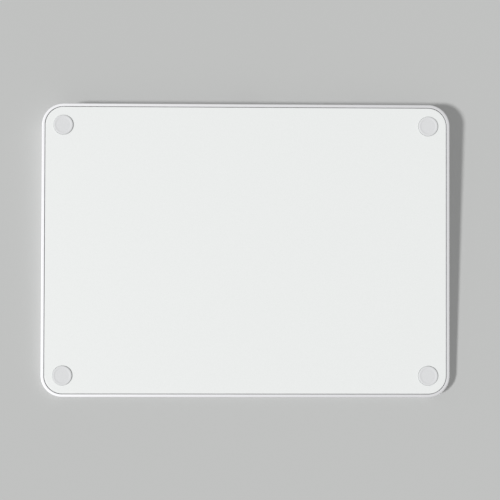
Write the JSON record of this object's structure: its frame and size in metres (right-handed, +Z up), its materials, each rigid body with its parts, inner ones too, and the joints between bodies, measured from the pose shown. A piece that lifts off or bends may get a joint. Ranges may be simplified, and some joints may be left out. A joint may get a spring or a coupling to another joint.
{
  "type": "trackpad",
  "caption": "Wedge-shaped desk trackpad: aluminium tub, white cover with round feet, and a glass touch plate on force-sensing flexures with a haptic engine.",
  "frame": {"origin": "on the desk, under the middle of the pad, at the level of the feet's faces", "axes": "+X to the user's right, +Y away from the user towards the thick back edge, +Z up"},
  "size_m": [0.16, 0.115, 0.0109],
  "materials": {
    "tub_aluminium": "bead-blasted, clear anodised",
    "white_cover": "smooth matte white moulding",
    "foot_rubber": "satin pale grey",
    "white_glass": "acid-etched matte, white backed",
    "adhesive_film": "pressure-sensitive film",
    "clear_adhesive": "clear bonding film",
    "circuit_board": "green solder mask",
    "stainless_sheet": "rolled sheet",
    "spring_steel": "rolled spring strip",
    "gauge_film": "polyimide foil",
    "chip_epoxy": "moulded epoxy",
    "connector_resin": "moulded resin",
    "flex_polyimide": "polyimide film",
    "gel_silicone": "soft silicone gel",
    "button_resin": "hard moulded resin",
    "screw_steel": "turned, plated",
    "pouch_foil": "laminated pouch foil",
    "nickel_tab": "nickel strip",
    "contact_gold": "gold flash",
    "shell_steel": "drawn shell",
    "tongue_resin": "moulded resin",
    "lamination_steel": "stacked laminations",
    "coil_copper": "enamelled wire",
    "antenna_resin": "moulded resin",
    "knob_aluminium": "satin anodised",
    "green_mark": "printed film"
  },
  "bodies": {
    "base": {"enclosure": "tub_aluminium", "bottom_cover": "white_cover", "cover_adhesive": "adhesive_film", "foot_front_left": "foot_rubber", "foot_front_right": "foot_rubber", "foot_back_left": "foot_rubber", "foot_back_right": "foot_rubber", "foot_adhesive_discs": "adhesive_film", "battery_cell": "pouch_foil", "battery_protection_board": "circuit_board", "battery_tabs": "nickel_tab", "battery_adhesive_strips": "adhesive_film", "battery_lead": "flex_polyimide", "main_board": "circuit_board", "main_board_screws": "screw_steel", "main_board_chips": "chip_epoxy", "radio_shield_can": "stainless_sheet", "board_connectors": "connector_resin", "port_shell": "shell_steel", "port_tongue": "tongue_resin", "port_contacts": "contact_gold", "port_bracket": "stainless_sheet", "port_bracket_screws": "screw_steel", "switch_housing": "connector_resin", "haptic_core": "lamination_steel", "haptic_bobbins": "connector_resin", "haptic_coils": "coil_copper", "haptic_bracket": "stainless_sheet", "haptic_screws": "screw_steel", "flexure_front_left": "spring_steel", "flexure_front_right": "spring_steel", "flexure_back_left": "spring_steel", "flexure_back_right": "spring_steel", "strain_gauges": "gauge_film", "flexure_screws": "screw_steel", "left_flex_cable": "flex_polyimide", "right_flex_cable": "flex_polyimide", "touch_flex_cable": "flex_polyimide", "antenna_carrier": "antenna_resin", "antenna_trace": "coil_copper"},
    "suspension": {"load_buttons": "button_resin", "gel_pads": "gel_silicone"},
    "touch_plate": {"touch_glass": "white_glass", "glass_adhesive": "clear_adhesive", "sensor_board": "circuit_board", "sensor_chips": "chip_epoxy", "stiffener_plate": "stainless_sheet", "armature_bar": "lamination_steel", "armature_screws": "screw_steel"},
    "switch_slider": {"switch_knob": "knob_aluminium", "switch_indicator": "green_mark", "switch_lever": "connector_resin"}
  },
  "joints": [
    {"name": "touch_press", "type": "slide", "parent": "base", "child": "suspension", "axis": [0, 0.0521, -0.9986], "range_m": [0, 0.00015], "stiffness_N_per_m": 3000, "springref_m": -0.0008, "deforming": ["flexure_front_left", "flexure_front_right", "flexure_back_left", "flexure_back_right", "touch_flex_cable"]},
    {"name": "haptic_shift", "type": "slide", "parent": "suspension", "child": "touch_plate", "axis": [0, 0.9986, 0.0521], "range_m": [-0.0001, 0.0001], "stiffness_N_per_m": 20000},
    {"name": "power_switch_slide", "type": "slide", "parent": "base", "child": "switch_slider", "axis": [1, 0, 0], "range_m": [0, 0.002]}
  ]
}
